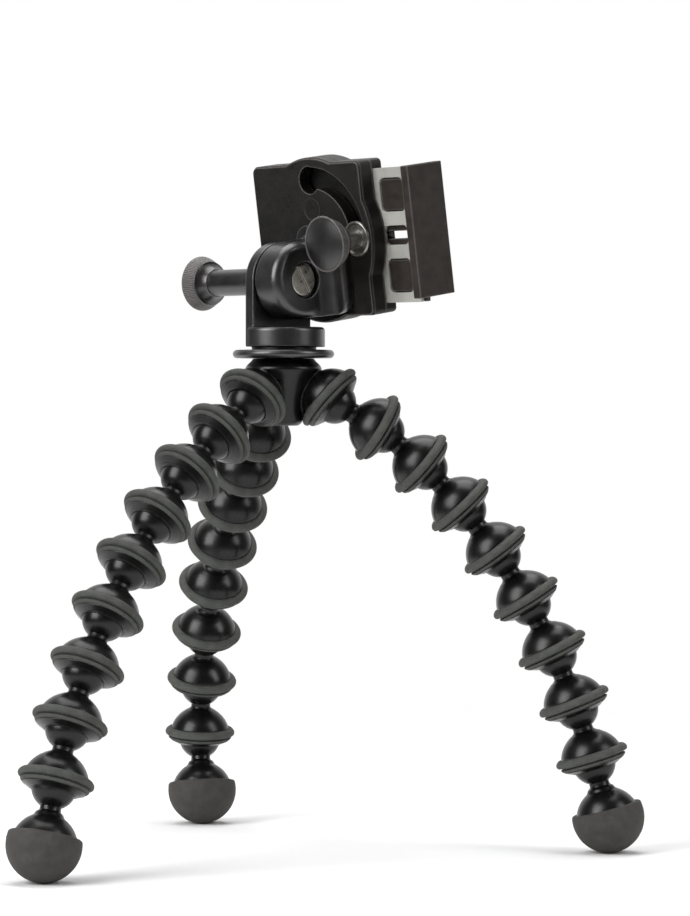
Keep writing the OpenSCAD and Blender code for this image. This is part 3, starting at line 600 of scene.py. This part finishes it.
class MakeLinks(bpy.types.Operator):
    """Ball-and-socket links of the three legs, with their rubber rings"""

    bl_idname = "tripod.make_links"
    bl_label = "Leg links"

    def body_profile(self, sizes):
        """Ball, neck, collar, dome and socket, from the ball's centre down."""
        dome_z = -sizes.pitch + sizes.ring_rise - DOME_DROP
        return (ball_arc(sizes)
                + collar_flare(sizes, dome_z)
                + socket_profile(sizes, -sizes.pitch, dome_top(sizes)))

    # Radius of the ring, in mm, for which ring_profile's points are drawn
    drawn_r = 12.4

    def ring_profile(self, sizes):
        """A large bead over a small one, with a groove between them."""
        z = -sizes.pitch + sizes.ring_rise
        rise = sizes.ring_r - self.drawn_r
        upper = [(10.25, z + 1.36), (10.8, z + 1.38), (11.3 + rise, z + 1.28), (11.85 + rise, z + 0.9),
                 (12.28 + rise, z + 0.28), (12.38 + rise, z - 0.3), (12.2 + rise, z - 0.9),
                 (11.7 + rise, z - 1.2), (10.8 + rise, z - 1.3)]
        lower = [(10.55 + rise, z - 1.5), (10.8 + rise, z - 1.7), (11.15 + rise, z - 1.84),
                 (11.22 + rise, z - 2.1), (11.0 + rise, z - 2.45), (10.75, z - 2.7), (10.4, z - 2.86)]
        return ([(sizes.seat_r + 0.02, z + 1.35)] + curve_through(upper, 5)
                + curve_through(lower, 4) + [(sizes.seat_r + 0.02, z - 2.88)])

    def execute(self, context):
        sizes, colours = context.scene.tripod_leg, context.scene.tripod_colours
        abs_black = polished_abs(colours.links)
        rubber = moulded_rubber("ring rubber", colours.rings, 0.45)
        body = turned("link moulding", self.body_profile(sizes))
        ring = turned("link ring", self.ring_profile(sizes), closed=True)
        for leg in LEGS:
            for n in LINKS:
                node = f"leg_{leg}_link_{n}"
                start = point(f"leg_{leg}_ball_{n}")
                where = along(start, point(f"leg_{leg}_ball_{n + 1}") - start)
                place(f"{node}_moulding", body, where, node, abs_black, node, finish="gloss_black")
                place(f"{node}_ring", ring, where, node, rubber, finish="grey_rubber")
        return {"FINISHED"}


class MakeFeet(bpy.types.Operator):
    """Foot stems and their rubber boots"""

    bl_idname = "tripod.make_feet"
    bl_label = "Feet"

    def stem_profile(self, sizes):
        """Ball, neck, collar and the dome that the boot grips."""
        dome_z = -sizes.foot_len - STEM_DROP
        floor_z = -sizes.foot_len - sizes.boot_r + STEM_END
        low = math.degrees(math.asin((floor_z - dome_z) / sizes.dome_r))
        return (ball_arc(sizes)
                + collar_flare(sizes, dome_z)
                + arc(0, dome_z, sizes.dome_r, dome_top(sizes), low, 24)
                + [(0, floor_z)])

    def boot_profile(self, sizes):
        """A sphere cut above its middle, hollow for the stem's dome."""
        c = -sizes.foot_len
        dome_z = c - STEM_DROP
        floor_z = c - sizes.boot_r + STEM_END
        rim_z = c + BOOT_RIM
        inner = sizes.dome_r + 0.01
        low = math.degrees(math.asin((floor_z - dome_z) / inner))
        high = math.degrees(math.asin((rim_z - 0.15 - dome_z) / inner))
        edge = math.degrees(math.asin((BOOT_RIM - 0.75) / sizes.boot_r))
        outer_r = sizes.boot_r * math.cos(math.radians(edge))
        inner_r = inner * math.cos(math.radians(high))
        return (arc(0, c, sizes.boot_r, -90, edge, 34)
                + curve_through([(outer_r - 0.08, c + 2.5), (outer_r - 0.35, rim_z - 0.2),
                                 (outer_r - 0.8, rim_z), (inner_r + 0.3, rim_z),
                                 (inner_r, rim_z - 0.15)], 4)
                + arc(0, dome_z, inner, high - 1, low, 14)
                + [(0, floor_z)])

    def execute(self, context):
        sizes, colours = context.scene.tripod_leg, context.scene.tripod_colours
        abs_black = bpy.data.materials["polished ABS"]
        rubber = moulded_rubber("boot rubber", colours.boots, 0.5)
        stem = turned("foot stem", self.stem_profile(sizes))
        boot = turned("foot boot", self.boot_profile(sizes))
        for leg in LEGS:
            start = point(f"leg_{leg}_ball_9")
            low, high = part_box(f"leg_{leg}_boot")
            centre = Vector(((low.x + high.x) / 2, (low.y + high.y) / 2, sizes.boot_r * MM))
            where = along(start, centre - start)
            node = f"leg_{leg}_foot"
            place(f"{node}_stem", stem, where, node, abs_black, node, finish="gloss_black")
            place(f"{node}_boot", boot, where, node, rubber, f"leg_{leg}_boot", finish="grey_rubber")
        return {"FINISHED"}


class MakeHub(bpy.types.Operator):
    """Hub moulding, its rubber rings, the stud and the lock disc"""

    bl_idname = "tripod.make_hub"
    bl_label = "Hub"

    def sockets(self):
        """Each leg's letter, its first ball and the direction of that socket."""
        lean = math.radians(HUB_LEAN)
        for leg in LEGS:
            ball = point(f"leg_{leg}_ball_1")
            out = Vector((ball.x, ball.y, 0)).normalized()
            yield leg, ball, out * math.sin(lean) - Vector((0, 0, math.cos(lean)))

    def hub_mesh(self, sizes):
        """Three socket lobes round a column, whose points are in mm from the plane
        of the first balls. Its collar flares to the shoulders, then tapers."""
        lobe = turned("hub lobe", socket_profile(sizes, 0, 90))
        column = turned("hub column", [(0, 14.55)] + curve_through(
            [(10.0, 14.55), (10.35, 14.4), (10.8, 13.7), (11.9, 12.7), (12.65, 11.7), (12.75, 10.8),
             (12.2, 9.4), (11.1, 7.0), (10.0, 4.0), (8.9, 1.0), (7.8, -2.0), (6.9, -4.8),
             (6.1, -6.9), (4.8, -7.9)], 4) + [(0, -7.95)])
        bm = bmesh.new()
        for leg, ball, down in self.sockets():
            part = lobe.copy()
            part.transform(along(ball, down))
            bm.from_mesh(part)
        column.transform(Matrix.Translation((0, 0, point("leg_a_ball_1").z)))
        bm.from_mesh(column)
        mesh = bpy.data.meshes.new("hub")
        bm.to_mesh(mesh)
        bm.free()
        return mesh

    def lock_disc(self, nylon):
        """Thin disc on the stud, with a round edge and a shallow step on its face."""
        low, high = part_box("lock_disc")
        r, t = high.x / MM, (high.z - low.z) / MM
        profile = ([(3.22, 0), (r - 2.2, 0)] + arc(r - t / 2, t / 2, t / 2, -80, 80, 14)
                   + [(r - 2.2, t - 0.02), (13.2, t), (12.9, t - 0.12), (12.6, t), (3.22, t)])
        place("lock_disc_ring", turned("lock disc", profile, 128, closed=True),
              Matrix.Translation((0, 0, low.z)), "lock", nylon, "lock_disc", finish="satin_black")

    def execute(self, context):
        sizes, colours = context.scene.tripod_leg, context.scene.tripod_colours
        piece = place("hub_moulding", self.hub_mesh(sizes), Matrix.Identity(4), "hub",
                      bpy.data.materials["polished ABS"], "hub", finish="gloss_black")
        melt(piece, 0.24, 4, 0.5)
        ring = bpy.data.meshes["link ring"]
        rubber = bpy.data.materials["ring rubber"]
        for leg, ball, down in self.sockets():
            # The three rings are one CAD node, for which the first one stands
            nodes = ["hub_rings"] if leg == "a" else []
            place(f"hub_ring_{leg}", ring, along(ball - down * sizes.pitch * MM, down), "hub", rubber,
                  *nodes, finish="grey_rubber")
        self.lock_disc(satin_nylon(colours.head))
        recoat("lock_stud", turned_steel("turned steel", "#8e8d8a", 0.32))
        return {"FINISHED"}


class MakeHead(bpy.types.Operator):
    """Base with its arm, tilt block, slotted nut and tilt lock"""

    bl_idname = "tripod.make_head"
    bl_label = "Head"

    def round_lug(self, mesh, lug_r=13.0, fillet=3.2, run_out=6.0):
        """The lug turns into its face over a large fillet, which runs out
        where the square back begins."""
        # Away from the phone there is only the lug, so its face stands out farthest
        face = max(v.co.x for v in mesh.vertices if v.co.y < -8 * MM) / MM
        for v in mesh.vertices:
            depth = fillet - (face - v.co.x / MM)
            r = math.hypot(v.co.y, v.co.z) / MM
            out = r - (lug_r - fillet)
            reach = math.hypot(depth, out)
            fade = min(1, max(0, (run_out - v.co.y / MM) / run_out))
            if depth > 0 and out > 0 and reach > fillet and fade > 0:
                k = 1 + (fillet / reach - 1) * fade * fade * (3 - 2 * fade)
                v.co.x = (face - fillet + depth * k) * MM
                ring = (lug_r - fillet + out * k) / r
                v.co.y *= ring
                v.co.z *= ring

    def execute(self, context):
        nylon = bpy.data.materials["satin nylon"]
        steel = bpy.data.materials["turned steel"]
        softened("base_moulding", ["base"], "base", nylon, keep=0.4)
        block = softened("tilt_block_moulding", ["tilt_block"], "tilt", nylon,
                         tilted=True)
        self.round_lug(block.data)
        thin_out(block, 0.4)
        nut = softened("tilt_nut_plated", ["tilt_nut"], "tilt", bright_nickel(),
                       voxel=0.09, tilted=True)
        # The slot leans as in the photograph
        centre = Matrix.Translation(point("clamp_tilt"))
        spin = centre @ Matrix.Rotation(math.radians(NUT_TURN), 4, "X") @ centre.inverted()
        nut.matrix_world = spin @ nut.matrix_world
        for node in ("tilt_bolt", "swing_pivot", "swing_rider"):
            recoat(node, steel)
        softened("tilt_sleeve_tube", ["tilt_sleeve"], "tilt_lock", nylon,
                 voxel=0.15, keep=0.4)
        # Black oxide makes the same steel dark and dull
        oxide = turned_steel("black oxide steel", "#2c2a29", 0.4)
        recoat("thrust_washer", oxide)
        recoat("swing_plate", oxide)
        return {"FINISHED"}


class MakeKnobs(bpy.types.Operator):
    """Tilt knob and swing knob, with their fine ridges"""

    bl_idname = "tripod.make_knobs"
    bl_label = "Knobs"

    # Lengths of a knob's back cone and of its ridged band, in mm, and how far the
    # swing knob's face stands from its joint's point
    cone, band, swing_face = 3.2, 5.2, 16.2

    def knob_mesh(self, sizes, bore):
        """A knob with its back at z = 0 and its face at the top, in mm."""
        around = sizes.ridges * 6
        cone, band = self.cone, self.band
        profile = [(bore, 0.1), (bore + 1.9, 0.0)]
        profile += curve_through([(bore + 2.2, 0.1), (bore + 2.35, 0.6), (5.6, 1.7), (6.6, 2.6),
                                  (sizes.back_r - 0.15, cone - 0.15)], 4)
        profile += [(sizes.back_r, cone), (sizes.back_r + 0.06, cone + 0.15)]
        steps = 10
        for i in range(1, steps):
            t = i / steps
            profile.append((sizes.back_r + (sizes.face_r - sizes.back_r) * t,
                            cone + 0.1 + (band - 1.0) * t))
        top = cone + band
        # A raised bead round the domed face
        profile += [(sizes.face_r - inward, top - below) for inward, below in (
            (0, 1.0), (0.03, 0.85), (0.15, 0.7), (0.35, 0.62), (0.55, 0.66), (0.68, 0.8), (0.78, 0.8))]
        profile += [(r, top + 0.4 - 1.25 * (r / 8.8) ** 2)
                    for r in (8.5, 8.2, 7.6, 6.8, 5.8, 4.6, 3.4, 2.2, 1.1)]
        profile += [(0, top + 0.4)]
        mesh = turned("knob", profile, around)
        # The ridges: flats and peaks pressed into the band's own rings
        for v in mesh.vertices:
            r, z = math.hypot(v.co.x, v.co.y) / MM, v.co.z / MM
            if cone + 0.2 < z < top - 0.8 and r > sizes.back_r:
                wave = 0.5 + 0.5 * math.cos(math.atan2(v.co.y, v.co.x) * sizes.ridges)
                k = 1 - 0.45 * (1 - wave) / r
                v.co.x *= k
                v.co.y *= k
        return mesh

    def execute(self, context):
        sizes = context.scene.tripod_knobs
        nylon = bpy.data.materials["satin nylon"]
        _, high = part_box("tilt_knob")
        mesh = self.knob_mesh(sizes, 2.5)
        where = (Matrix.Translation((high.x, 0, point("clamp_tilt").z))
                 @ Matrix.Rotation(math.radians(-90), 4, "Y"))
        place("tilt_knob_ridged", mesh, where, "tilt_lock", nylon, "tilt_knob", finish="satin_black")
        centre = point("swing_knob_turn")
        out = Vector((0, -math.cos(TILT), -math.sin(TILT)))
        where = (Matrix.Translation(centre + out * (self.swing_face - self.band - self.cone) * MM)
                 @ (tilt_axis().to_3x3() @ Matrix.Rotation(math.radians(90), 3, "X")).to_4x4())
        place("swing_knob_ridged", self.knob_mesh(sizes, 3.0), where, "swing_lock", nylon,
              "swing_knob", finish="satin_black")
        steel = bpy.data.materials["turned steel"]
        softened("swing_washer_dished", ["swing_washer"], "swing_lock",
                 turned_steel("tumbled steel", "#9a9893", 0.36),
                 voxel=0.08, passes=2, tilted=True, keep=0.5)
        recoat("swing_bolt", steel)
        return {"FINISHED"}


class MakeClamp(bpy.types.Operator):
    """Clamp body, jaws, slide plate and pads"""

    bl_idname = "tripod.make_clamp"
    bl_label = "Clamp"

    def execute(self, context):
        colours = context.scene.tripod_colours
        grained = grained_abs("grained ABS", colours.clamp)
        # The jaw is the clamp's own plastic; its colour is painted 2.6 times lighter for the light that
        # falls on its wall
        jaw_grained_lit = grained_abs("grained ABS of the jaw, painted lighter", shade(colours.clamp, 2.6))
        steel = bpy.data.materials["turned steel"]
        rubber = moulded_rubber("pad rubber", "#32302e", 0.6)
        sheet = coated_sheet(colours.plate)
        mouldings = (
            ("clamp_front_shell", "clamp_front", "clamp", grained, "grained_plastic", 0.2, 2, 0.35),
            ("clamp_rear_shell", "clamp_rear", "clamp", grained, "grained_plastic", 0.25, 3, 0.35),
            ("sliding_jaw_moulding", "sliding_jaw", "jaw", jaw_grained_lit, "grained_plastic", 0.22, 3, 0.35),
            ("slide_plate_sheet", "slide_plate", "jaw", sheet, "slide_metal", 0.2, 2, 0.35),
            ("fixed_pad_rubber", "fixed_pad", "clamp", rubber, "pad_rubber", 0.25, 3, 0.4),
            ("jaw_pad_rubber", "jaw_pad", "jaw", rubber, "pad_rubber", 0.25, 3, 0.4),
            ("seat_pads_rubber", "seat_pads", "clamp", rubber, "pad_rubber", 0.2, 3, 0.4))
        for name, node, body, material, finish, voxel, passes, keep in mouldings:
            softened(name, [node], body, material, voxel, passes, tilted=True, keep=keep)
        for node in ("clamp_screws", "guide_rod", "jaw_rivets"):
            recoat(node, steel)
        return {"FINISHED"}


class MakeStage(bpy.types.Operator):
    """Floor, studio lamps, world and the camera of the photograph"""

    bl_idname = "tripod.make_stage"
    bl_label = "Stage"

    def softbox(self, name, azimuth, elevation, distance, width, height, watts):
        """A large area lamp that faces the middle of the tripod. Angles are in
        degrees and lengths in metres."""
        lamp = bpy.data.lights.new(name, "AREA")
        lamp.shape = "RECTANGLE"
        lamp.size, lamp.size_y = width, height
        lamp.energy = watts
        box = bpy.data.objects.new(name, lamp)
        bpy.context.scene.collection.objects.link(box)
        a, e = math.radians(azimuth), math.radians(elevation)
        target = Vector((0, 0, 0.12))
        away = Vector((math.cos(a) * math.cos(e), math.sin(a) * math.cos(e), math.sin(e)))
        box.location = target + away * distance
        box.rotation_euler = away.to_track_quat("Z", "Y").to_euler()

    def floor(self, radius=0.75, plain_r=0.3, faded_r=0.7):
        """White paper under the feet, which fades into the white room between two
        radii, in metres."""
        bm = bmesh.new()
        bmesh.ops.create_circle(bm, cap_ends=True, segments=96, radius=radius)
        mesh = bpy.data.meshes.new("floor")
        bm.to_mesh(mesh)
        bm.free()
        floor = bpy.data.objects.new("floor", mesh)
        bpy.context.scene.collection.objects.link(floor)
        mat, tree, bsdf = shader("matt white paper", "#fcfcfc", 0.9, specular=0.0)
        where = grain(tree, bsdf, 3.0, 0.02, detail=2.0)
        reach = add(tree, "ShaderNodeVectorMath", [(0, where.outputs["Object"])], operation="LENGTH")
        fade = add(tree, "ShaderNodeMapRange", [("Value", reach.outputs["Value"])],
                   interpolation_type="SMOOTHSTEP", From_Min=plain_r, From_Max=faded_r,
                   To_Min=1.0, To_Max=0.0)
        tree.links.new(fade.outputs["Result"], bsdf.inputs["Alpha"])
        mesh.materials.append(mat)

    def world(self):
        """White to the camera, a bright sweep behind the tripod in reflections,
        and a dim room to everything else."""
        world = bpy.data.worlds.new("studio")
        bpy.context.scene.world = world
        world.use_nodes = True
        tree = world.node_tree
        tree.nodes.clear()
        where = add(tree, "ShaderNodeTexCoord")
        back = add(tree, "ShaderNodeVectorMath", [(0, where.outputs["Generated"])],
                   operation="DOT_PRODUCT")
        back.inputs[1].default_value = SWEEP
        ramp = add(tree, "ShaderNodeMapRange", [("Value", back.outputs["Value"])],
                   interpolation_type="SMOOTHSTEP", From_Min=0.2, From_Max=0.8, To_Min=0.0, To_Max=1.0)
        path = add(tree, "ShaderNodeLightPath")
        clear = add(tree, "ShaderNodeMath", [(0, path.outputs["Is Glossy Ray"]),
                                             (1, path.outputs["Is Transmission Ray"])], operation="ADD")
        sweep = add(tree, "ShaderNodeMath", [(0, clear.outputs["Value"]), (1, ramp.outputs["Result"])],
                    operation="MULTIPLY")
        white = add(tree, "ShaderNodeMath", [(0, path.outputs["Is Camera Ray"]),
                                             (1, sweep.outputs["Value"])], operation="MAXIMUM")
        seen = add(tree, "ShaderNodeMath", [(0, white.outputs["Value"])], operation="MAXIMUM")
        seen.inputs[1].default_value = ROOM_FILL
        paint = add(tree, "ShaderNodeBackground", [("Strength", seen.outputs["Value"])])
        paint.inputs["Color"].default_value = (1, 1, 1, 1)
        add(tree, "ShaderNodeOutputWorld", [("Surface", paint.outputs["Background"])])

    def camera(self):
        """A level camera, shifted so that the tripod stands as in the photograph."""
        cam = bpy.data.cameras.new("camera")
        eye = bpy.data.objects.new("camera", cam)
        bpy.context.scene.collection.objects.link(eye)
        wide, tall = PICTURE
        cam.sensor_width = SENSOR_MM
        cam.lens = FOCAL_PX * SENSOR_MM / tall
        cam.shift_x = (wide / 2 - AXIS_PX[0]) / tall
        cam.shift_y = -(tall / 2 - AXIS_PX[1]) / tall
        cam.clip_start, cam.clip_end = 0.05, 50
        turn = math.radians(CAMERA_TURN)
        eye.location = (CAMERA_FAR * math.sin(turn), -CAMERA_FAR * math.cos(turn), CAMERA_HEIGHT)
        eye.rotation_euler = (math.radians(90), 0, turn)
        bpy.context.scene.camera = eye

    def execute(self, context):
        self.floor()
        self.world()
        self.camera()
        # Two tall boxes, left and right of the camera, and one above the tripod
        self.softbox("left_box", azimuth=CAMERA_AZIMUTH - 52, elevation=28, distance=1.5,
                     width=0.9, height=1.2, watts=22)
        self.softbox("right_box", azimuth=CAMERA_AZIMUTH + 62, elevation=28, distance=1.5,
                     width=0.6, height=1.1, watts=9)
        self.softbox("top_box", azimuth=140, elevation=78, distance=1.6,
                     width=1.4, height=1.4, watts=22)
        context.scene.view_settings.view_transform = "Standard"
        return {"FINISHED"}


class TripodPanel(bpy.types.Panel):
    """Buttons that build the tripod's pieces"""

    bl_idname = "VIEW3D_PT_tripod"
    bl_label = "Phone tripod"
    bl_space_type = "VIEW_3D"
    bl_region_type = "UI"
    bl_category = "Tripod"

    def draw(self, context):
        for group in ("tripod_leg", "tripod_knobs", "tripod_colours"):
            values = getattr(context.scene, group)
            for key in values.__annotations__:
                self.layout.prop(values, key)
        for step in STEPS:
            self.layout.operator(step.bl_idname)


STEPS = (MakeLinks, MakeFeet, MakeHub, MakeHead, MakeKnobs, MakeClamp, MakeStage)
CLASSES = (LegSizes, KnobSizes, FinishColours) + STEPS + (TripodPanel,)


def register():
    """Registers the classes and puts their settings on the scene."""
    for cls in CLASSES:
        bpy.utils.register_class(cls)
    bpy.types.Scene.tripod_leg = bpy.props.PointerProperty(type=LegSizes)
    bpy.types.Scene.tripod_knobs = bpy.props.PointerProperty(type=KnobSizes)
    bpy.types.Scene.tripod_colours = bpy.props.PointerProperty(type=FinishColours)


def unregister():
    """Takes the settings and the classes out again."""
    del bpy.types.Scene.tripod_colours
    del bpy.types.Scene.tripod_knobs
    del bpy.types.Scene.tripod_leg
    for cls in reversed(CLASSES):
        bpy.utils.unregister_class(cls)


def main():
    """Builds every piece and the stage."""
    register()
    bpy.ops.tripod.make_links()
    bpy.ops.tripod.make_feet()
    bpy.ops.tripod.make_hub()
    bpy.ops.tripod.make_head()
    bpy.ops.tripod.make_knobs()
    bpy.ops.tripod.make_clamp()
    bpy.ops.tripod.make_stage()
    bpy.context.view_layer.update()


if __name__ == "__main__":
    main()
